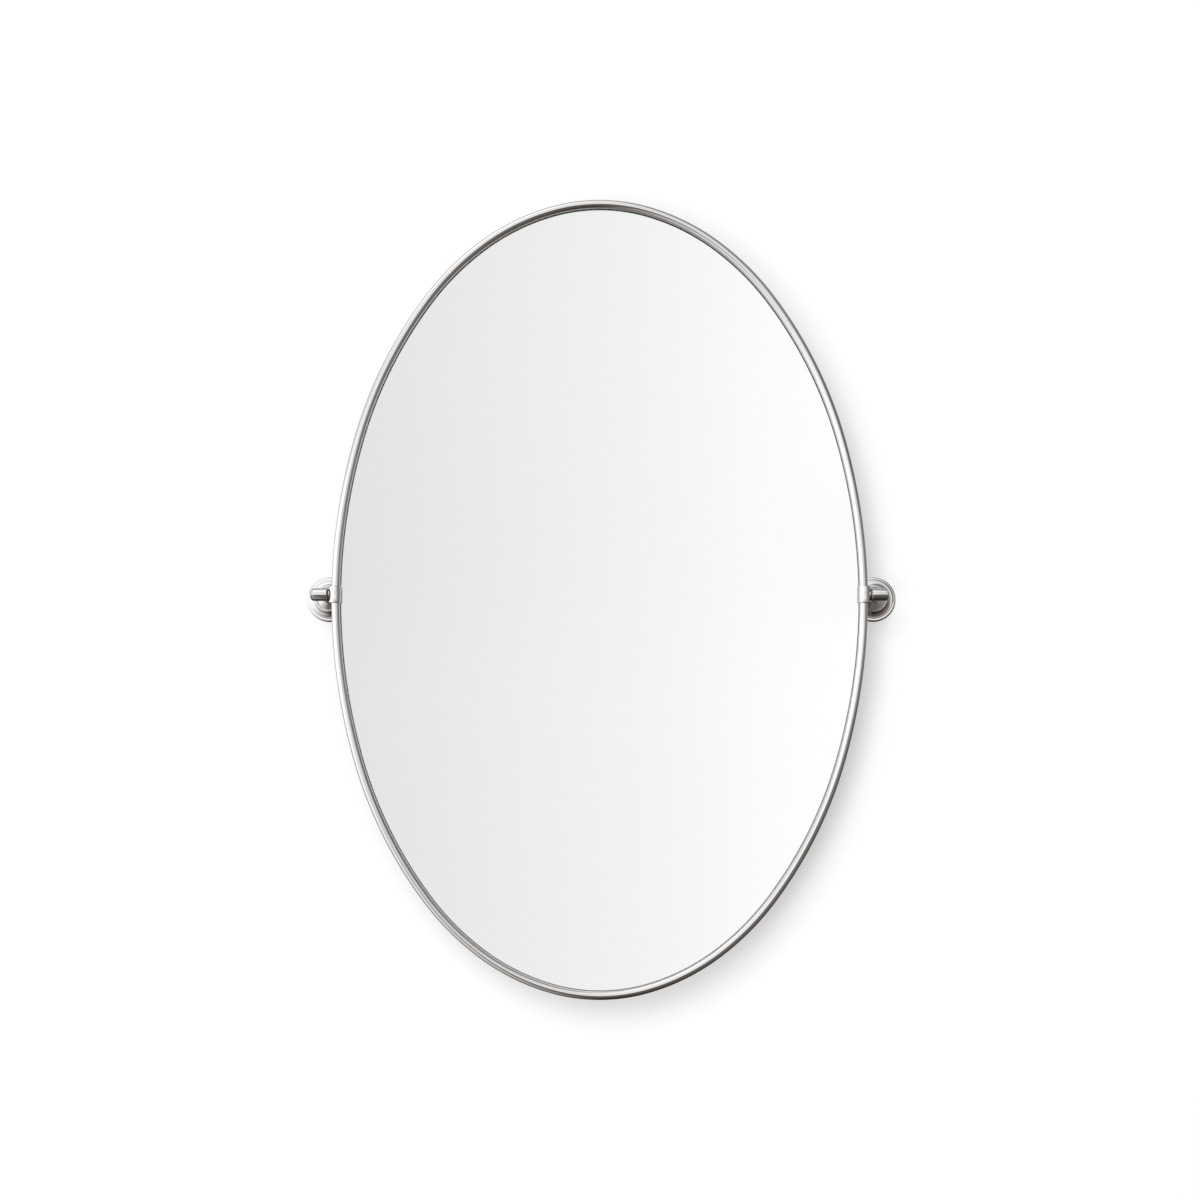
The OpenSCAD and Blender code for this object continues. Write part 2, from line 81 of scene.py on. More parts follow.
class FrameSizes(bpy.types.PropertyGroup):
    """The oval, the tube round it and what the tube holds"""

    width: length("Width", "Width over the frame tube", 612)
    height: length("Height", "Height over the frame tube", 914)
    projection: length("Projection", "Wall to the pivot line", 64)
    pivot_rise: length("Pivot Rise", "Pivot line above the middle of the oval", 4.5)
    tube_radius: length("Tube Radius", "Outer radius of the frame tube", 4.9)
    strip_thickness: length("Strip Thickness", "Thickness of the strip behind the tube", 1.5)
    strip_front: length("Strip Front", "Front edge of the strip behind the tube's middle", 4.95)
    strip_back: length("Strip Back", "Back edge of the strip behind the tube's middle", 14.95)
    glass_front: length("Glass Front", "Front of the glass behind the tube's middle", 1.0)
    glass_back: length("Glass Back", "Back of the glass behind the tube's middle", 5.0)
    glass_gap: length("Glass Gap", "Free width between tube and glass", 0.3)
    board_front: length("Board Front", "Front of the board behind the tube's middle", 5.5)
    board_back: length("Board Back", "Back of the board behind the tube's middle", 11.5)
    board_gap: length("Board Gap", "Free width between strip and board", 1.35)
    turn_steps: IntProperty(
        name="Turn Steps", description="Steps of the sweep in a full turn", default=540, min=90
    )


class BracketSizes(bpy.types.PropertyGroup):
    """The turned pieces of the two wall brackets"""

    axis: length("Axis", "Bracket's middle from the upright middle line", 318.632)
    barrel_radius: length("Barrel Radius", "Outer radius of the barrel", 7.25)
    barrel_length: length("Barrel Length", "Length of the barrel", 15.9)
    bore_radius: length("Bore Radius", "Radius of the barrel's bore", 4.25)
    mouth_radius: length("Mouth Radius", "Radius of the wide end of the bore", 5.2)
    mouth_depth: length("Mouth Depth", "Depth of the wide end of the bore", 6.0)
    cap_radius: length("Cap Radius", "Radius of the end cap", 7.0)
    cap_rise: length("Cap Rise", "Height of the end cap's dome", 2.8)
    neck_radius: length("Neck Radius", "Radius of the neck behind the cap", 6.4)
    neck_length: length("Neck Length", "Length of the neck behind the cap", 0.6)
    post_radius: length("Post Radius", "Radius of the post", 5.0)
    collar_radius: length("Collar Radius", "Radius of the collar at the foot of the post", 6.4)
    collar_length: length("Collar Length", "Length of that collar", 4.6)
    rosette_radius: length("Rosette Radius", "Radius of the rosette at the wall", 26.2)
    flange_height: length("Flange Height", "Thickness of the rosette's flange", 3.4)
    flange_round: length("Flange Round", "Rounding of the rosette's outer edge", 2.0)
    step_radius: length("Step Radius", "Radius of the step on the flange", 22.6)
    step_height: length("Step Height", "Height of the step on the flange", 2.0)
    step_round: length("Step Round", "Rounding of the step's edge", 1.0)
    cove_radius: length("Cove Radius", "Radius of the hollow sweep", 6.0)
    bead_radius: length("Bead Radius", "Radius of the bead", 1.5)
    cone_rise: length("Cone Rise", "Rise of the cone from the bead to the post", 2.2)
    plate_room: FloatVectorProperty(
        name="Plate Room", description="Radius and height of the room for the wall plate", size=2,
        unit="LENGTH", precision=5, default=(18.6 * MM, 5.2 * MM),
    )
    head_room: FloatVectorProperty(
        name="Head Room",
        description="Radius of the room for the post screw's head, and the floor's thickness",
        size=2, unit="LENGTH", precision=5, default=(7.5 * MM, 3.2 * MM),
    )
    turn_steps: IntProperty(
        name="Turn Steps", description="Steps of a full turn", default=160, min=24
    )


class SleeveSizes(bpy.types.PropertyGroup):
    """The sleeves round the tube at the pivot line"""

    pivot: length("Pivot", "Tube's middle at the pivot line from the upright middle line", 301.082)
    offset: length("Offset", "Sleeve's middle outside the tube's middle", 0.8)
    radius: length("Radius", "Outer radius of the sleeve", 7.1)
    height: length("Height", "Height of the sleeve", 19.4)
    end_round: length("End Round", "Rounding of the sleeve's ends", 1.0)
    hole_radius: length("Hole Radius", "Radius of the hole for the tube", 5.05)
    face: length("Face", "Bearing face from the upright middle line", 308.982)
    boss_radius: length("Boss Radius", "Radius of the bearing boss", 5.2)
    boss_rise: length("Boss Rise", "How far the boss stands out", 0.4)
    bolt_radius: length("Bolt Radius", "Radius of the hole for the pivot screw", 2.55)
    inner_edge: length("Inner Edge", "Back edge of the inner side behind the tube's middle", 0.6)
    back_edge: length("Back Edge", "Edge of the back opening outside the sleeve's middle", 0.35)


class FinishSettings(bpy.types.PropertyGroup):
    """Colours of the finishes"""

    nickel: colour("Nickel", "Polished nickel plate", (0.71, 0.70, 0.695))
    silver: colour("Silvering", "Silver behind the glass", (0.935, 0.935, 0.935))
    zinc: colour("Zinc", "Zinc-plated steel", (0.50, 0.52, 0.54))
    board: colour("Board", "Painted fibreboard", (0.035, 0.032, 0.030))
    rubber: colour("Rubber", "Black rubber", (0.022, 0.022, 0.023))
    nylon: colour("Nylon", "Dark nylon", (0.035, 0.034, 0.033))
    foam: colour("Foam", "Mounting tape", (0.72, 0.72, 0.68))
    # The glass's black rim paint: partly a real edge seal, partly painted shade that stands in for
    # the dark gap line between tube and glass
    edge_paint_and_gap_shade: colour("Edge Paint", "Black paint on the rim of the glass", (0.012, 0.012, 0.013))


class StageSettings(bpy.types.PropertyGroup):
    """Wall, light and camera"""

    camera_place: FloatVectorProperty(
        name="Camera Place", description="Where the camera stands", size=3, subtype="TRANSLATION",
        unit="LENGTH", precision=4, default=(0.0741, -2.2945, -0.2092),
    )
    camera_turn: FloatVectorProperty(
        name="Camera Turn", description="Upward pitch, turn to the left and roll of the camera",
        size=3, subtype="EULER", unit="ROTATION",
        default=(math.radians(0.995), math.radians(-0.176), math.radians(-0.023)),
    )
    lens: FloatProperty(name="Lens", description="Focal length in millimetres", default=58.732)
    shift: FloatVectorProperty(
        name="Shift", description="Sideways and upward lens shift", size=2, default=(-0.059, 0.12)
    )
    upper_place: FloatVectorProperty(
        name="Upper Light Place", description="Where the upper light hangs", size=3,
        subtype="TRANSLATION", unit="LENGTH", default=(-1.344, -6.2, 2.14),
    )
    upper_size: length("Upper Light Size", "Diameter of the upper light", 3720)
    upper_power: FloatProperty(
        name="Upper Light Power", description="Power of the upper light", default=225, unit="POWER"
    )
    lower_place: FloatVectorProperty(
        name="Lower Light Place", description="Where the lower light stands", size=3,
        subtype="TRANSLATION", unit="LENGTH", default=(-2.19, -6.2, -1.33),
    )
    lower_size: length("Lower Light Size", "Diameter of the lower light", 2730)
    lower_power: FloatProperty(
        name="Lower Light Power", description="Power of the lower light", default=91, unit="POWER"
    )
    ambient: FloatProperty(name="Ambient", description="Brightness of the surround", default=0.4)
    card_shade: FloatProperty(
        name="Card Shade", description="Brightness of the dark card beside the camera", default=0.13
    )
    wall: colour("Wall", "Colour of the wall", (0.60, 0.60, 0.60))
    wall_glow: FloatProperty(
        name="Wall Glow", description="Added to the lit wall, so that it looks white", default=0.44
    )
    wall_reach: FloatVectorProperty(
        name="Wall Reach", description="Where the wall starts and ends to fade into plain white",
        size=2, unit="LENGTH", default=(0.9, 1.4),
    )


# Small roundings: strip, glass, board, and the edges of posts, barrels and caps
STRIP_EDGE = 0.3 * MM
GLASS_EDGE = 0.2 * MM
BOARD_EDGE = 0.4 * MM
TURNED_EDGE = 0.6 * MM
# Thickness of the paint on the glass's back, which keeps the silver clear of the tape
BACK_PAINT = 0.05 * MM
# Inside the rosette: play round the post's collar, the room for the post's spigot, and the
# screw's hole
COLLAR_PLAY = 0.3 * MM
SPIGOT_RADIUS, SPIGOT_DEPTH = 4.05 * MM, 2 * MM
SCREW_RADIUS = 2.8 * MM
# How far the bead laps over the hollow sweep and stands above its end, the part of its outer
# dip that it has towards the cone, and how far the cone falls short of its rise at the collar
BEAD_LAP, BEAD_LIFT, BEAD_TURN = 0.2 * MM, 0.8 * MM, 0.7
CONE_DROP = 0.1 * MM
# The post's bore, and how far the post goes into the barrel
POST_BORE = 2.55 * MM
POST_TIP = 2.6 * MM
# The cap's plug in the barrel's mouth
PLUG_DEPTH = 1.2 * MM
PLUG_PLAY = 0.05 * MM


def sizes():
    return bpy.context.scene.mirror_sizes


def sleeve():
    return bpy.context.scene.mirror_sleeve


def bracket():
    return bpy.context.scene.mirror_bracket


def finishes():
    return bpy.context.scene.mirror_finishes


def staging():
    return bpy.context.scene.mirror_stage


# ---- Meshes ----


def finish_piece(bm, name, body, slot, *nodes, smooth_angle=40, materials=()):
    """Closes a bmesh into a piece that rides on a body and stands for its CAD nodes."""
    bmesh.ops.remove_doubles(bm, verts=bm.verts, dist=MERGE)
    bmesh.ops.recalc_face_normals(bm, faces=bm.faces)
    mesh = bpy.data.meshes.new(name)
    bm.to_mesh(mesh)
    bm.free()
    mesh.shade_smooth()
    mesh.set_sharp_from_angle(angle=math.radians(smooth_angle))
    for polygon in mesh.polygons:
        if len(polygon.vertices) > MANY_CORNERS:
            polygon.use_smooth = False
    piece = bpy.data.objects.new(name, mesh)
    bpy.context.scene.collection.objects.link(piece)
    for finish in materials:
        mesh.materials.append(finish)
    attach(piece, body)
    if nodes:
        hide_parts(*nodes)
    return piece


# Slopes of the outward normal at which the oval's arcs meet, and how far each middle arc is
# bent against the ellipse's own curvature
SLOPES = ((24, 7), (4, 3), (3, 4), (7, 24))
EASE = (1.01, 0.94, 1.03)
# Every radius is a whole number of these
RADIUS_STEP = 0.025 * MM


def oval_arcs():
    """The first quarter of the tube's centre line: (centre x, centre z, radius, first, last)."""
    s = sizes()
    a, b = s.width / 2 - s.tube_radius, s.height / 2 - s.tube_radius
    turns = [0.0] + [math.atan2(z, x) for x, z in SLOPES] + [math.pi / 2]
    last = len(turns) - 2

    def to_step(r):
        return round(r / RADIUS_STEP) * RADIUS_STEP

    def bend(t):
        return (a * b) ** 2 / ((a * math.cos(t)) ** 2 + (b * math.sin(t)) ** 2) ** 1.5

    wide = [math.cos(turns[i]) - math.cos(turns[i + 1]) for i in range(last + 1)]
    high = [math.sin(turns[i + 1]) - math.sin(turns[i]) for i in range(last + 1)]
    middle = [to_step(EASE[i - 1] * bend((turns[i] + turns[i + 1]) / 2)) for i in range(1, last)]
    wide_left = a - sum(r * w for r, w in zip(middle, wide[1:last]))
    high_left = b - sum(r * h for r, h in zip(middle, high[1:last]))
    closing = wide[0] * high[last] - wide[last] * high[0]
    side = to_step((wide_left * high[last] - high_left * wide[last]) / closing)
    end = to_step((high_left * wide[0] - wide_left * high[0]) / closing)
    radii = [side, *middle, end]
    x, z = sum(r * w for r, w in zip(radii, wide)) - side, 0.0
    arcs = []
    for i, r in enumerate(radii):
        if i:
            x += (radii[i - 1] - r) * math.cos(turns[i])
            z += (radii[i - 1] - r) * math.sin(turns[i])
        arcs.append((x, z, r, turns[i], turns[i + 1]))
    return arcs


def all_arcs():
    """Every arc of the whole oval in order, each a quarter's arc mirrored into its place."""
    first = oval_arcs()
    back = [(-x, z, r, math.pi - t1, math.pi - t0) for x, z, r, t0, t1 in reversed(first)]
    upper = first + back
    lower = [(-x, -z, r, t0 + math.pi, t1 + math.pi) for x, z, r, t0, t1 in upper]
    return upper + lower


def oval_middle():
    s = sizes()
    return Vector((0, -s.projection, -s.pivot_rise))


def sweep_round_oval(bm, outline, closed=True):
    """Spins an outline round each of the oval's arcs in turn. Points are (outward, behind)."""
    arcs = all_arcs()
    middle = oval_middle()
    start = arcs[0][0] + arcs[0][2]
    verts = [bm.verts.new(middle + Vector((start + out, behind, 0))) for out, behind in outline]
    pairs = list(zip(verts, verts[1:])) + ([(verts[-1], verts[0])] if closed else [])
    ring = verts + [bm.edges.new(pair) for pair in pairs]
    for x, z, _, first, last in arcs:
        steps = max(2, round(sizes().turn_steps * (last - first) / math.tau))
        spun = bmesh.ops.spin(
            bm,
            geom=ring,
            cent=middle + Vector((x, 0, z)),
            axis=-AHEAD,
            angle=last - first,
            steps=steps,
            use_merge=False,
            use_duplicate=False,
        )
        ring = spun["geom_last"]
    bmesh.ops.remove_doubles(bm, verts=bm.verts, dist=SEAM)


def circle_outline(radius, count):
    return [
        (radius * math.cos(math.tau * i / count), radius * math.sin(math.tau * i / count))
        for i in range(count)
    ]


def rounded_slab(outer, front, back, edge, steps=3):
    """The rim outline of a flat oval piece, from its front face to its back face."""
    points = []
    for i in range(steps + 1):
        t = math.pi / 2 * i / steps
        points.append((outer - edge + edge * math.sin(t), front + edge - edge * math.cos(t)))
    for i in range(steps + 1):
        t = math.pi / 2 * i / steps
        points.append((outer - edge + edge * math.cos(t), back - edge + edge * math.sin(t)))
    return points


def arc(middle, radius, first, last, steps=10):
    """Points on an arc between two angles in degrees."""
    return [
        (middle[0] + radius * math.cos(a), middle[1] + radius * math.sin(a))
        for a in (math.radians(first + (last - first) * i / steps) for i in range(steps + 1))
    ]


def turn(bm, profile, place, axis, closed=True):
    """Turns a profile of (radius, along) points round an axis through a place."""
    axis = Vector(axis)
    out = axis.orthogonal().normalized()
    verts = [bm.verts.new(place + out * radius + axis * along) for radius, along in profile]
    pairs = list(zip(verts, verts[1:])) + ([(verts[-1], verts[0])] if closed else [])
    bmesh.ops.spin(
        bm,
        geom=verts + [bm.edges.new(pair) for pair in pairs],
        cent=place,
        axis=axis,
        angle=math.tau,
        steps=bracket().turn_steps,
        use_merge=True,
        use_duplicate=False,
    )


def close_faces(bm):
    """Fills the open loops at the front and the back of a flat piece."""
    open_edges = [e for e in bm.edges if e.is_boundary]
    bmesh.ops.holes_fill(bm, edges=open_edges, sides=0)


# ---- Materials ----


class Nodes:
    """A node tree with short ways to add to it."""

    def __init__(self, tree):
        self.tree = tree

    def add(self, kind, **settings):
        node = self.tree.nodes.new(kind)
        for key, value in settings.items():
            setattr(node, key, value)
        return node

    def link(self, a, b):
        self.tree.links.new(a, b)

    def place(self, scale=(1, 1, 1)):
        """Object coordinates, in metres, stretched by scale."""
        coordinates = self.add("ShaderNodeTexCoord").outputs["Object"]
        if tuple(scale) == (1, 1, 1):
            return coordinates
        mapping = self.add("ShaderNodeMapping")
        mapping.inputs["Scale"].default_value = scale
        self.link(coordinates, mapping.inputs["Vector"])
        return mapping.outputs["Vector"]

    def noise(self, scale, detail=3, rough=0.5, stretch=(1, 1, 1), distortion=0):
        node = self.add("ShaderNodeTexNoise")
        node.inputs["Scale"].default_value = scale
        node.inputs["Detail"].default_value = detail
        node.inputs["Roughness"].default_value = rough
        node.inputs["Distortion"].default_value = distortion
        self.link(self.place(stretch), node.inputs["Vector"])
        return node.outputs["Fac"]

    def remap(self, value, low, high, to_low, to_high):
        node = self.add("ShaderNodeMapRange")
        for i, v in enumerate((low, high, to_low, to_high), start=1):
            node.inputs[i].default_value = v
        self.link(value, node.inputs[0])
        return node.outputs[0]

    def fill(self, socket, value):
        """Sets a socket to a number or a colour, or links an output to it."""
        if isinstance(value, (int, float)):
            socket.default_value = value
        elif isinstance(value, (tuple, list)):
            socket.default_value = (*value, 1)
        else:
            self.link(value, socket)

    def maths(self, operation, a, b=0.0):
        node = self.add("ShaderNodeMath", operation=operation)
        self.fill(node.inputs[0], a)
        self.fill(node.inputs[1], b)
        return node.outputs[0]

    def mix(self, factor, a, b, blend="MIX"):
        """Two colours mixed: sockets 6 and 7 are the colours, and output 2 is the result."""
        node = self.add("ShaderNodeMix", data_type="RGBA", blend_type=blend)
        self.fill(node.inputs[0], factor)
        self.fill(node.inputs[6], a)
        self.fill(node.inputs[7], b)
        return node.outputs[2]

    def ramp(self, value, *stops):
        """A colour ramp over stops of (value, grey or colour)."""
        low, high = stops[0][0], stops[-1][0]
        node = self.add("ShaderNodeValToRGB")
        elements = node.color_ramp.elements
        elements.remove(elements[-1])
        for i, (at, shade) in enumerate(stops):
            position = (at - low) / (high - low)
            element = elements.new(position) if i else elements[0]
            element.position = position
            element.color = (*shade, 1) if isinstance(shade, tuple) else (shade, shade, shade, 1)
        self.link(self.remap(value, low, high, 0, 1), node.inputs[0])
        return node.outputs[0]

    def bump(self, height, strength, distance, normal=None):
        node = self.add("ShaderNodeBump")
        node.inputs["Strength"].default_value = strength
        node.inputs["Distance"].default_value = distance
        self.link(height, node.inputs["Height"])
        if normal is not None:
            self.link(normal, node.inputs["Normal"])
        return node.outputs["Normal"]


class Finish(Nodes):
    """A material's node tree and its shader."""

    def __init__(self, name):
        self.material = bpy.data.materials.new(f"{name}_finish")
        self.material.use_nodes = True
        super().__init__(self.material.node_tree)
        self.shader = self.tree.nodes["Principled BSDF"]
        self.output = self.tree.nodes["Material Output"]

    def set(self, **values):
        for key, value in values.items():
            self.shader.inputs[key.replace("_", " ")].default_value = value

    def drive(self, **outputs):
        for key, socket in outputs.items():
            self.link(socket, self.shader.inputs[key.replace("_", " ")])


def tone(base, factor):
    return tuple(min(1, c * factor) for c in base)


def nickel_material():
    """Polished nickel: bright, with fine wiping marks and a few hazy spots."""
    n = Finish("polished_nickel")
    base = tuple(finishes().nickel)
    n.set(Metallic=1.0)
    tint = n.noise(14, 2)
    n.drive(Base_Color=n.mix(tint, tone(base, 0.97), tone(base, 1.03)))
    haze = n.remap(n.noise(38, 4, 0.6), 0.45, 0.75, 0.02, 0.05)
    wipes = n.remap(n.noise(900, 2, 0.5, stretch=(1, 0.12, 0.12)), 0.5, 0.8, 0, 0.02)
    n.drive(Roughness=n.maths("ADD", haze, wipes))
    marks = n.noise(2600, 2, 0.6, stretch=(0.2, 1, 0.2))
    ripple = n.noise(45, 1, 0.4)
    waves = n.bump(ripple, strength=0.12, distance=0.2 * MM)
    n.drive(Normal=n.bump(marks, strength=0.05, distance=0.01 * MM, normal=waves))
    return n.material


def silver_material():
    """The silver layer on the glass's back."""
    n = Finish("mirror_silvering")
    base = tuple(finishes().silver)
    n.set(Metallic=1.0, Roughness=0.0)
    n.drive(Base_Color=n.mix(n.noise(3, 2), tone(base, 0.997), base))
    return n.material


def glass_material():
    """Clear float glass, wiped clean."""
    n = Finish("mirror_glass")
    n.set(Transmission_Weight=1.0, IOR=1.5, Roughness=0.0)
    n.drive(Base_Color=n.mix(n.noise(6, 2), (0.993, 0.996, 0.994), (0.997, 1.0, 0.998)))
    return n.material


def zinc_material():
    """Zinc-plated steel: bluish grey with fine spangle and turning marks."""
    n = Finish("zinc_steel")
    base = tuple(finishes().zinc)
    n.set(Metallic=1.0)
    spangle = n.add("ShaderNodeTexVoronoi")
    spangle.inputs["Scale"].default_value = 700
    n.link(n.place(), spangle.inputs["Vector"])
    n.drive(Base_Color=n.mix(spangle.outputs["Color"], tone(base, 0.9), tone(base, 1.08)))
    n.drive(Roughness=n.remap(n.noise(160, 4, 0.6), 0.3, 0.7, 0.24, 0.42))
    n.drive(Normal=n.bump(n.noise(1800, 3, 0.6), strength=0.25, distance=0.03 * MM))
    return n.material


def board_material():
    """Fibreboard under a thin coat of dark paint: the pressed fibres still show."""
    n = Finish("painted_fibreboard")
    base = tuple(finishes().board)
    n.set(Specular_IOR_Level=0.35)
    fibres = n.noise(420, 6, 0.7, distortion=1.5)
    clouds = n.noise(9, 3)
    paint = n.mix(clouds, tone(base, 0.8), tone(base, 1.35))
    n.drive(Base_Color=n.mix(n.remap(fibres, 0.55, 0.8, 0, 0.4), paint, (0.10, 0.085, 0.07)))
    n.drive(Roughness=n.remap(fibres, 0.3, 0.7, 0.55, 0.78))
    n.drive(Normal=n.bump(fibres, strength=0.45, distance=0.12 * MM))
    return n.material


def plain_material(name, base, rough, grain, depth, sheen=0.5):
    """Rubber, nylon, foam or paint: a matt surface with a fine grain of some depth."""
    n = Finish(name)
    n.set(Specular_IOR_Level=sheen)
    n.drive(Base_Color=n.mix(n.noise(60, 3), tone(base, 0.85), tone(base, 1.15)))
    n.drive(Roughness=n.remap(n.noise(220, 4), 0.3, 0.7, *rough))
    n.drive(Normal=n.bump(n.noise(grain, 3, 0.6), strength=0.4, distance=depth))
    return n.material


MAKERS = {
    "polished_nickel": nickel_material,
    "mirror_silvering": silver_material,
    "mirror_glass": glass_material,
    "zinc_steel": zinc_material,
    "painted_fibreboard": board_material,
    # Near-black rim paint without sheen, so it stays black at grazing angles: partly a real edge
    # seal, partly painted shade for the dark gap line between tube and glass
    "edge_paint_and_gap_shade": lambda: plain_material(
        "edge_paint_and_gap_shade", tuple(finishes().edge_paint_and_gap_shade),
        rough=(0.6, 0.8), grain=1300, depth=0.02 * MM, sheen=0,
    ),
    "black_rubber": lambda: plain_material(
        "black_rubber", tuple(finishes().rubber),
        rough=(0.55, 0.75), grain=1500, depth=0.03 * MM,
    ),
    "dark_nylon": lambda: plain_material(
        "dark_nylon", tuple(finishes().nylon),
        rough=(0.32, 0.45), grain=1100, depth=0.02 * MM,
    ),
    "foam_tape": lambda: plain_material(
        "foam_tape", tuple(finishes().foam),
        rough=(0.8, 0.95), grain=1900, depth=0.06 * MM,
    ),
}


def material(name):
    """The finish of that name, made once. The pack's plain materials keep their own names."""
    return bpy.data.materials.get(f"{name}_finish") or MAKERS[name]()


# ---- Operators: the mirror ----


class MIRROR_OT_frame_tube(bpy.types.Operator):
    """Sweep the round frame tube along the oval"""

    bl_idname = "mirror.frame_tube"
    bl_label = "Frame Tube"

    def execute(self, context):
        bm = bmesh.new()
        sweep_round_oval(bm, circle_outline(sizes().tube_radius, TUBE_CORNERS))
        finish_piece(
            bm, "frame_ring", "mirror", "polished_nickel", "frame_tube",
            smooth_angle=60, materials=[material("polished_nickel")],
        )
        return {"FINISHED"}


class MIRROR_OT_rear_strip(bpy.types.Operator):
    """Sweep the strip welded behind the tube"""

    bl_idname = "mirror.rear_strip"
    bl_label = "Rear Strip"

    def execute(self, context):
        s = sizes()
        rim = rounded_slab(s.strip_thickness / 2, s.strip_front, s.strip_back, STRIP_EDGE)
        outline = rim + [(-out, behind) for out, behind in reversed(rim)]
        bm = bmesh.new()
        sweep_round_oval(bm, outline)
        finish_piece(
            bm, "rear_strip", "mirror", "polished_nickel", "rear_band",
            materials=[material("polished_nickel")],
        )
        return {"FINISHED"}


class MIRROR_OT_glass(bpy.types.Operator):
    """Cut the oval glass, silver its back and paint its rim black: partly a real edge seal, partly
    painted shade for the dark gap line at the tube
    """

    bl_idname = "mirror.glass"
    bl_label = "Mirror Glass"

    def execute(self, context):
        s = sizes()
        bm = bmesh.new()
        outer = -(s.tube_radius + s.glass_gap)
        back = s.glass_back - BACK_PAINT
        outline = rounded_slab(outer, s.glass_front, back, GLASS_EDGE)
        sweep_round_oval(bm, outline, closed=False)
        close_faces(bm)
        # Back faces take the silvering; rim faces take the black rim paint, partly a real edge seal
        # and partly painted shade for the dark gap line at the tube
        for face in bm.faces:
            depth = face.calc_center_median().y + s.projection
            if depth > back - HAIR:
                face.material_index = 1
            elif depth > s.glass_front + GLASS_EDGE:
                face.material_index = 2
        finish_piece(
            bm, "silvered_pane", "mirror", "silvered_glass", "mirror_glass",
            smooth_angle=20,
            materials=[material(m) for m in ("mirror_glass", "mirror_silvering", "edge_paint_and_gap_shade")],
        )
        return {"FINISHED"}


class MIRROR_OT_backing(bpy.types.Operator):
    """Cut the backing board"""

    bl_idname = "mirror.backing"
    bl_label = "Backing Board"

    def execute(self, context):
        s = sizes()
        bm = bmesh.new()
        outer = -(s.strip_thickness / 2 + s.board_gap)
        outline = rounded_slab(outer, s.board_front, s.board_back, BOARD_EDGE)
        sweep_round_oval(bm, outline, closed=False)
        close_faces(bm)
        finish_piece(
            bm, "painted_board", "mirror", "painted_fibreboard", "backing_board",
            smooth_angle=25, materials=[material("painted_fibreboard")],
        )
        return {"FINISHED"}


class MIRROR_OT_sleeves(bpy.types.Operator):
    """Shape the sleeves that hold the tube at the pivot line"""

    bl_idname = "mirror.sleeves"
    bl_label = "Pivot Sleeves"

    def execute(self, context):
        p = sleeve()
        for side, sign in SIDES.items():
            middle = Vector((sign * (p.pivot + p.offset), -sizes().projection, 0))
            foot = middle - Vector((0, 0, p.height / 2))
            bm = bmesh.new()
            section = bm.faces.new([
                bm.verts.new(foot + Vector((sign * out, behind, 0)))
                for out, behind in self.outline()
            ])
            grown = bmesh.ops.extrude_face_region(bm, geom=[section])["geom"]
            top = [g for g in grown if isinstance(g, bmesh.types.BMVert)]
            bmesh.ops.translate(bm, verts=top, vec=(0, 0, p.height))
            bmesh.ops.bevel(
                bm, geom=[e for e in bm.edges if self.on_rim(e, middle)], offset=p.end_round,
                segments=6, affect="EDGES", profile=0.5, material=-1,
            )
            # Flat where it bears on the washer
            cut = bmesh.ops.bisect_plane(
                bm, geom=bm.verts[:] + bm.edges[:] + bm.faces[:], clear_outer=True,
                plane_co=(sign * (p.face - p.boss_rise), 0, 0), plane_no=(sign, 0, 0),
            )
            flat = [g for g in cut["geom_cut"] if isinstance(g, bmesh.types.BMEdge)]
            bmesh.ops.holes_fill(bm, edges=flat, sides=0)
            # The boss starts as far inside the flat as it stands out of it
            root = p.face - 2 * p.boss_rise
            boss = [
                (p.bolt_radius, root), (p.boss_radius, root),
                (p.boss_radius, p.face), (p.bolt_radius, p.face),
            ]
            turn(bm, boss, Vector((0, -sizes().projection, 0)), (sign, 0, 0))
            finish_piece(
                bm, f"tube_sleeve_{side}", "mirror", "polished_nickel", f"pivot_saddle_{side}",
                materials=[material("polished_nickel")],
            )
        return {"FINISHED"}

    def on_rim(self, edge, middle):
        """Whether an edge lies level on the sleeve's outer round."""
        if abs(edge.verts[0].co.z - edge.verts[1].co.z) > HAIR:
            return False
        return all((v.co - middle).xy.length > sleeve().radius - 5 * HAIR for v in edge.verts)

    def outline(self):
        """From above, (outwards, behind): round the front and the outside, back along the hole."""
        p = sleeve()
        start = 180 - math.degrees(math.asin(p.inner_edge / p.radius))
        end = 360 + math.degrees(math.acos(p.back_edge / p.radius))
        hole_start = math.degrees(math.acos((p.back_edge + p.offset) / p.hole_radius))
        hole_end = -180 - math.degrees(math.asin(p.inner_edge / p.hole_radius))
        return [
            *arc((0, 0), p.radius, start, end, steps=90),
            *arc((-p.offset, 0), p.hole_radius, hole_start, hole_end, steps=60),
        ]


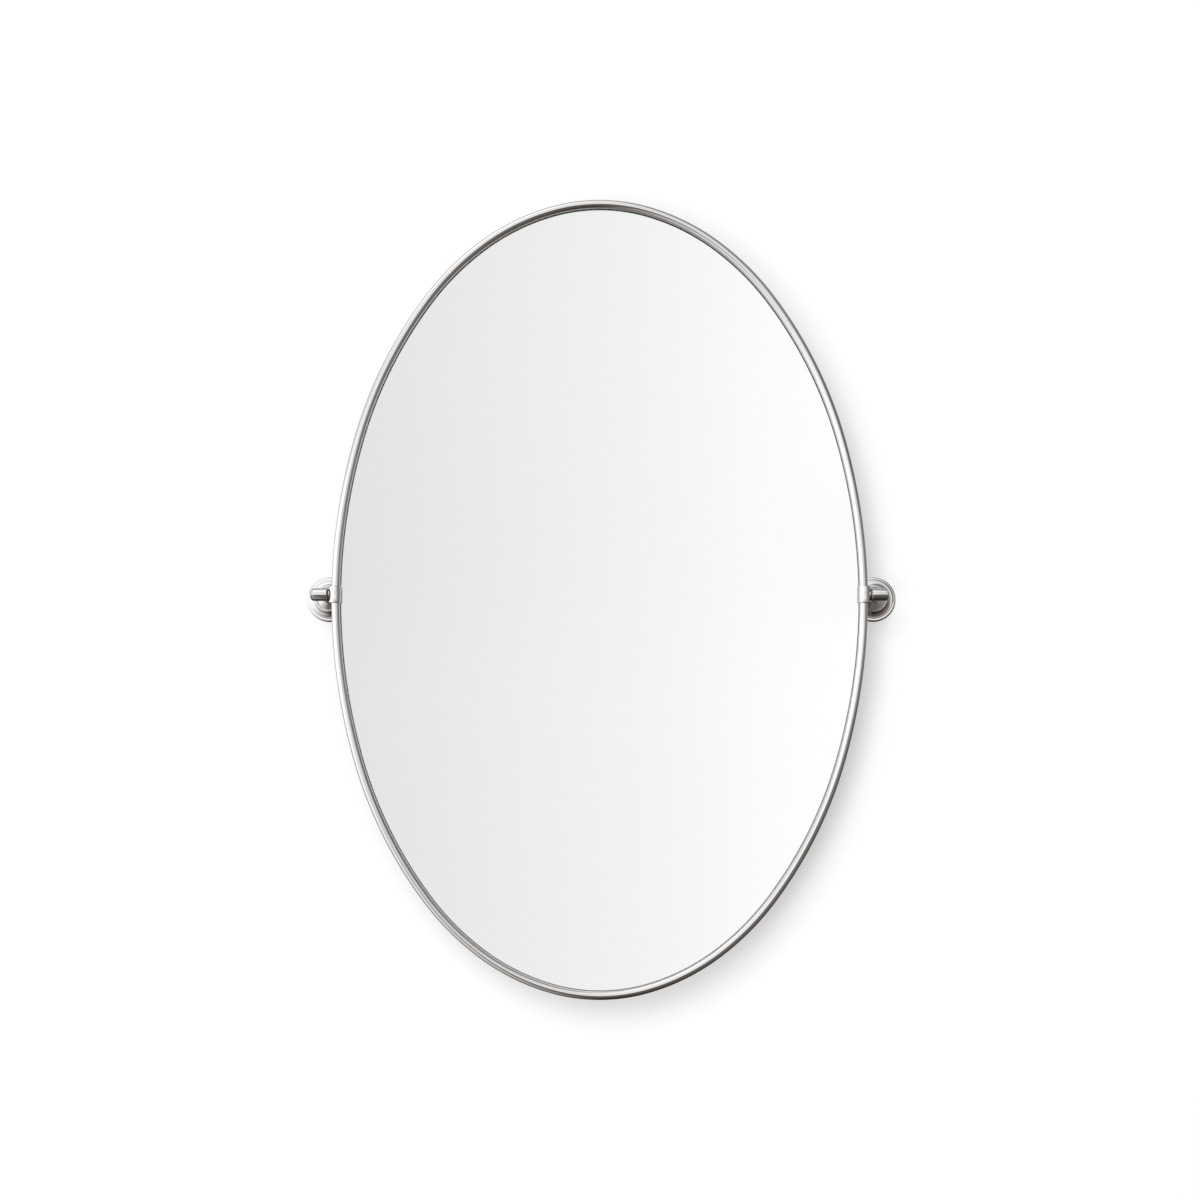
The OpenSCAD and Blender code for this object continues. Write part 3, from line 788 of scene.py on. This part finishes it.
class MIRROR_OT_rosettes(bpy.types.Operator):
    """Turn the stepped rosettes"""

    bl_idname = "mirror.rosettes"
    bl_label = "Rosettes"

    def execute(self, context):
        for side, sign in SIDES.items():
            bm = bmesh.new()
            turn(bm, self.profile(), Vector((sign * bracket().axis, 0, 0)), -AHEAD)
            finish_piece(
                bm, f"stepped_rosette_{side}", "wall_brackets", "polished_nickel", f"rosette_{side}",
                materials=[material("polished_nickel")],
            )
        return {"FINISHED"}

    def profile(self):
        """From the wall over flange, step, cove, bead and cone to the post, and back underneath."""
        b = bracket()
        rim = (b.rosette_radius - b.flange_round, b.flange_height - b.flange_round)
        step_top = b.flange_height + b.step_height
        cove_x = b.step_radius - b.step_round
        floor = step_top + b.cove_radius
        bead = (cove_x - b.cove_radius - b.bead_radius + BEAD_LAP, floor + BEAD_LIFT)
        dip = math.degrees(math.asin((bead[1] - floor) / b.bead_radius))
        seat = b.collar_radius + COLLAR_PLAY
        plate_r, plate_h = b.plate_room
        head_r, floor_t = b.head_room
        return [
            (b.rosette_radius, 0),
            *arc(rim, b.flange_round, 0, 90),
            (b.step_radius, b.flange_height),
            *arc((cove_x, step_top - b.step_round), b.step_round, 0, 90),
            *arc((cove_x, floor), b.cove_radius, 270, 180, steps=24),
            *arc(bead, b.bead_radius, -dip, 180 + dip * BEAD_TURN, steps=24),
            (seat, floor + b.cone_rise - CONE_DROP), (seat, floor),
            (SPIGOT_RADIUS, floor), (SPIGOT_RADIUS, floor - SPIGOT_DEPTH),
            (SCREW_RADIUS, floor - SPIGOT_DEPTH), (SCREW_RADIUS, floor - floor_t),
            (head_r, floor - floor_t), (head_r, plate_h),
            (plate_r, plate_h), (plate_r, 0),
        ]


class MIRROR_OT_posts(bpy.types.Operator):
    """Turn the posts with their collars"""

    bl_idname = "mirror.posts"
    bl_label = "Posts"

    def execute(self, context):
        for side, sign in SIDES.items():
            bm = bmesh.new()
            turn(bm, self.profile(), Vector((sign * bracket().axis, 0, 0)), -AHEAD)
            finish_piece(
                bm, f"round_post_{side}", "wall_brackets", "polished_nickel", f"post_{side}",
                materials=[material("polished_nickel")],
            )
        return {"FINISHED"}

    def profile(self):
        """From the rosette's floor over the collar into the barrel, and back down the bore."""
        b = bracket()
        edge = TURNED_EDGE
        foot = b.flange_height + b.step_height + b.cove_radius
        hollow = b.collar_radius - edge - b.post_radius
        shoulder = foot + b.collar_length
        top = sizes().projection - b.barrel_radius + POST_TIP
        return [
            (POST_BORE, foot),
            *arc((b.collar_radius - edge, foot + edge), edge, -90, 0),
            *arc((b.collar_radius - edge, shoulder - edge), edge, 0, 90),
            *arc((b.post_radius + hollow, shoulder + hollow), hollow, 270, 180),
            (b.post_radius, top), (POST_BORE, top),
        ]


class MIRROR_OT_barrels(bpy.types.Operator):
    """Turn the barrels and the domed end caps"""

    bl_idname = "mirror.barrels"
    bl_label = "Barrels and Caps"

    def execute(self, context):
        b = bracket()
        for side, sign in SIDES.items():
            out = Vector((sign, 0, 0))
            middle = Vector((sign * b.axis, -sizes().projection, 0))
            for name, node, profile, closed in (
                ("level_barrel", "barrel", self.barrel(), True),
                ("domed_cap", "end_cap", self.cap(), False),
            ):
                bm = bmesh.new()
                turn(bm, profile, middle, out, closed)
                finish_piece(
                    bm, f"{name}_{side}", "wall_brackets", "polished_nickel", f"{node}_{side}",
                    materials=[material("polished_nickel")],
                )
        return {"FINISHED"}

    def barrel(self):
        """The barrel's wall, measured along the pivot line from the barrel's middle."""
        b = bracket()
        half, edge = b.barrel_length / 2, TURNED_EDGE
        return [
            (b.bore_radius, -half),
            *arc((b.barrel_radius - edge, edge - half), edge, -90, 0),
            *arc((b.barrel_radius - edge, half - edge), edge, 0, 90),
            (b.mouth_radius, half), (b.mouth_radius, half - b.mouth_depth),
            (b.bore_radius, half - b.mouth_depth),
        ]

    def cap(self):
        """The plug in the barrel's mouth, the neck that shows as a groove, and the low dome."""
        b = bracket()
        half = b.barrel_length / 2
        base = half + b.neck_length
        dome = (b.cap_radius**2 + b.cap_rise**2) / (2 * b.cap_rise)
        rim = math.degrees(math.asin(b.cap_radius / dome))
        middle = (0, base + TURNED_EDGE + b.cap_rise - dome)
        plug = b.mouth_radius - PLUG_PLAY
        return [
            (0, half - PLUG_DEPTH), (plug, half - PLUG_DEPTH), (plug, half), (b.neck_radius, half),
            (b.neck_radius, base), (b.cap_radius, base),
            *arc(middle, dome, 90 - rim, 90, steps=16),
        ]


# The finish of every CAD node that keeps its own shape
CARRIED = {
    "black_rubber": ("glazing_gasket", "wall_bumpers"),
    "foam_tape": ("mounting_tape",),
    "zinc_steel": (
        "retaining_tabs", "tab_screws", "pivot_insert_*", "pivot_screw_*", "wall_plate_*",
        "set_screw_*", "post_screw_*", "spring_washer_*",
    ),
    "dark_nylon": ("pivot_bush_*", "friction_washer_*"),
}


class MIRROR_OT_finishes(bpy.types.Operator):
    """Give the carried-over pieces their finishes"""

    bl_idname = "mirror.finishes"
    bl_label = "Finishes"

    def execute(self, context):
        for name, patterns in CARRIED.items():
            for pattern in patterns:
                for side in SIDES if pattern.endswith("*") else ("",):
                    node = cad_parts[pattern.replace("*", side)]
                    node.data.materials.clear()
                    node.data.materials.append(material(name))
        return {"FINISHED"}


# ---- Operators: wall, light and camera ----


class MIRROR_OT_stage(bpy.types.Operator):
    """Set up the wall, the light, the surround and the camera"""

    bl_idname = "mirror.stage"
    bl_label = "Stage"

    def execute(self, context):
        self.wall()
        s = staging()
        self.soft_light("upper_light", s.upper_place, s.upper_size, s.upper_power)
        self.soft_light("lower_light", s.lower_place, s.lower_size, s.lower_power)
        self.surround(context.scene)
        self.camera(context.scene)
        context.scene.view_settings.view_transform = "Standard"
        return {"FINISHED"}

    def wall(self):
        """A white wall that shows the shadow, and can be looked through from behind."""
        s = staging()
        bm = bmesh.new()
        bmesh.ops.create_grid(bm, x_segments=1, y_segments=1, size=s.wall_reach[1])
        bmesh.ops.rotate(bm, verts=bm.verts, matrix=Matrix.Rotation(math.pi / 2, 3, "X"))
        mesh = bpy.data.meshes.new("wall")
        bm.to_mesh(mesh)
        bm.free()
        wall = bpy.data.objects.new("wall", mesh)
        bpy.context.scene.collection.objects.link(wall)
        n = Finish("wall_paint")
        n.set(Roughness=0.9, Specular_IOR_Level=0.0)
        base = tuple(s.wall)
        n.drive(Base_Color=n.mix(n.noise(4, 2), tone(base, 0.995), base))
        path = n.add("ShaderNodeLightPath")
        glow = n.add("ShaderNodeEmission")
        glow.inputs["Strength"].default_value = s.wall_glow
        lit = n.add("ShaderNodeAddShader")
        n.link(n.shader.outputs[0], lit.inputs[0])
        n.link(glow.outputs[0], lit.inputs[1])
        # Only what looks at the wall from the front meets it, and its rim fades into the white
        seen = n.maths("MAXIMUM", path.outputs["Is Camera Ray"], path.outputs["Is Transmission Ray"])
        back = n.add("ShaderNodeNewGeometry").outputs["Backfacing"]
        reach = n.add("ShaderNodeVectorMath", operation="LENGTH")
        n.link(n.place(), reach.inputs[0])
        rim = n.remap(reach.outputs["Value"], *s.wall_reach, 1, 0)
        shown = n.maths("MULTIPLY", n.maths("MULTIPLY", seen, n.maths("SUBTRACT", 1, back)), rim)
        mix = n.add("ShaderNodeMixShader")
        n.link(shown, mix.inputs[0])
        n.link(n.add("ShaderNodeBsdfTransparent").outputs[0], mix.inputs[1])
        n.link(lit.outputs[0], mix.inputs[2])
        n.link(mix.outputs[0], n.output.inputs["Surface"])
        mesh.materials.append(n.material)

    def soft_light(self, name, place, size, power):
        """A round light that faces the pivot line, and is neither seen nor mirrored."""
        data = bpy.data.lights.new(name, "AREA")
        data.shape = "DISK"
        data.size = size
        data.energy = power
        light = bpy.data.objects.new(name, data)
        bpy.context.scene.collection.objects.link(light)
        place = Vector(place)
        light.location = place
        light.rotation_euler = (-place).to_track_quat("-Z", "Y").to_euler()
        light.visible_camera = False
        light.visible_glossy = False
        light.visible_transmission = False

    def surround(self, scene):
        """White behind the wall, soft even light, and a studio for polished surfaces to reflect."""
        world = bpy.data.worlds.new("surround")
        scene.world = world
        world.use_nodes = True
        n = Nodes(world.node_tree)
        n.tree.nodes.clear()
        parts = n.add("ShaderNodeSeparateXYZ")
        n.link(n.add("ShaderNodeTexCoord").outputs["Generated"], parts.inputs[0])
        x, y, z = parts.outputs
        # Degrees to the right of straight in front of the wall, and above eye level
        azimuth = n.maths("DEGREES", n.maths("ARCTAN2", x, n.maths("MULTIPLY", y, -1)))
        elevation = n.maths("DEGREES", n.maths("ARCSINE", z))
        path = n.add("ShaderNodeLightPath")
        ambient = (staging().ambient,) * 3
        shade = n.mix(path.outputs["Is Glossy Ray"], ambient, self.studio(n, azimuth, elevation))
        shade = n.mix(path.outputs["Is Transmission Ray"], shade, self.room(n, azimuth, elevation))
        shade = n.mix(path.outputs["Is Camera Ray"], shade, (1, 1, 1))
        background = n.add("ShaderNodeBackground")
        n.link(shade, background.inputs["Color"])
        n.link(background.outputs[0], n.add("ShaderNodeOutputWorld").inputs["Surface"])

    def studio(self, n, azimuth, elevation):
        """What metal reflects: bright screens at the left, a dim floor, and dark to the right."""
        level = n.ramp(
            azimuth,
            (-180, 0.6), (-150, 0.42), (-130, 0.42), (-112, 0.85), (-90, 1.25), (-62, 1.43),
            (-34, 1.32), (-7, 1.12), (19, 0.93), (47, 0.36), (78, 0.19), (120, 0.26), (150, 0.45),
            (180, 0.6),
        )
        above = n.ramp(
            elevation, (0, 1.15), (12, 1.15), (20, 0.8), (28, 0.8), (42, 1.12), (66, 1.1), (90, 0.72)
        )
        below = n.ramp(
            elevation,
            (-90, (0.02, 0.017, 0.015)), (-76, (0.042, 0.035, 0.031)), (-60, (0.086, 0.075, 0.067)),
            (-42, (0.125, 0.11, 0.1)), (-20, (0.17, 0.155, 0.144)), (-6, (0.21, 0.198, 0.19)),
        )
        # Below eye level it is much lighter at the left, and there it loses its warm tint
        side = n.ramp(
            azimuth,
            (-180, 0.6), (-150, 0.6), (-128, (1.1, 1.2, 1.3)), (-104, (4.6, 5.0, 5.5)),
            (-66, (8.0, 8.9, 9.7)), (-38, (5.9, 6.4, 6.8)), (-12, 1.2), (10, 0.95), (32, 1.4),
            (60, 1.35), (110, 0.5), (180, 0.6),
        )
        below = n.mix(1.0, below, side, blend="MULTIPLY")
        horizon = n.remap(elevation, -7, 2, 0, 1)
        level = n.mix(self.card(n, azimuth, elevation), level, (staging().card_shade,) * 3)
        return n.mix(horizon, below, n.mix(1.0, level, above, blend="MULTIPLY"))

    def card(self, n, azimuth, elevation):
        """A small dark card right of the camera, which the right rosette's flat rings mirror."""
        across = n.ramp(azimuth, (3.0, 0), (5.5, 0.6), (6.3, 1), (9.5, 1), (11.5, 0))
        upright = n.ramp(elevation, (4.2, 0), (5.0, 1), (7.5, 1), (9.5, 0))
        return n.maths("MULTIPLY", across, upright)

    def room(self, n, azimuth, elevation):
        """What the mirror glass reflects: a plain room that grows lighter to the right."""
        across = n.ramp(
            azimuth,
            (-180, 0.5), (-120, 0.62), (-85, 0.72), (-50, 0.78), (-30, 0.8), (-15, 0.78),
            (-9.8, 0.791), (0, 0.954), (3.2, 1.03), (6.5, 1.08), (18, 0.95), (40, 0.7), (89, 0.45),
            (130, 0.4), (180, 0.5),
        )
        upright = n.ramp(
            elevation,
            (-90, 0.12), (-45, 0.3), (-28, 0.85), (-12, 1.07), (-6, 1.05), (0, 1.02), (6, 1.0),
            (16, 1.01), (50, 1.05), (90, 1.0),
        )
        return n.mix(1.0, across, upright, blend="MULTIPLY")

    def camera(self, scene):
        """The camera, a little below the pivot line and right of the middle."""
        s = staging()
        data = bpy.data.cameras.new("camera")
        data.sensor_width = 36
        data.lens = s.lens
        data.shift_x, data.shift_y = s.shift
        data.clip_start, data.clip_end = 0.05, 50
        camera = bpy.data.objects.new("camera", data)
        scene.collection.objects.link(camera)
        camera.location = s.camera_place
        pitch, turn, roll = s.camera_turn
        camera.rotation_euler = (math.pi / 2 + pitch, 0, turn)
        camera.rotation_euler.rotate_axis("Z", roll)
        scene.camera = camera


# ---- Panel and registration ----

STEPS = (
    ("frame_tube", "Frame Tube"),
    ("rear_strip", "Rear Strip"),
    ("glass", "Mirror Glass"),
    ("backing", "Backing Board"),
    ("sleeves", "Pivot Sleeves"),
    ("rosettes", "Rosettes"),
    ("posts", "Posts"),
    ("barrels", "Barrels and Caps"),
    ("finishes", "Finishes"),
    ("stage", "Stage"),
)


class MIRROR_PT_panel(bpy.types.Panel):
    """Lists the pieces in the order in which they are made"""

    bl_label = "Pivot Mirror"
    bl_space_type = "VIEW_3D"
    bl_region_type = "UI"
    bl_category = "Mirror"

    def draw(self, context):
        for step, label in STEPS:
            self.layout.operator(f"mirror.{step}", text=label)


CLASSES = (
    FrameSizes, BracketSizes, SleeveSizes, FinishSettings, StageSettings, MIRROR_OT_frame_tube,
    MIRROR_OT_rear_strip, MIRROR_OT_glass, MIRROR_OT_backing, MIRROR_OT_sleeves,
    MIRROR_OT_rosettes, MIRROR_OT_posts, MIRROR_OT_barrels, MIRROR_OT_finishes, MIRROR_OT_stage,
    MIRROR_PT_panel,
)


def register():
    for cls in CLASSES:
        bpy.utils.register_class(cls)
    bpy.types.Scene.mirror_sizes = PointerProperty(type=FrameSizes)
    bpy.types.Scene.mirror_bracket = PointerProperty(type=BracketSizes)
    bpy.types.Scene.mirror_sleeve = PointerProperty(type=SleeveSizes)
    bpy.types.Scene.mirror_finishes = PointerProperty(type=FinishSettings)
    bpy.types.Scene.mirror_stage = PointerProperty(type=StageSettings)


def unregister():
    del bpy.types.Scene.mirror_stage
    del bpy.types.Scene.mirror_finishes
    del bpy.types.Scene.mirror_sleeve
    del bpy.types.Scene.mirror_bracket
    del bpy.types.Scene.mirror_sizes
    for cls in reversed(CLASSES):
        bpy.utils.unregister_class(cls)


def main():
    register()
    for step, _ in STEPS:
        getattr(bpy.ops.mirror, step)()


if __name__ == "__main__":
    main()
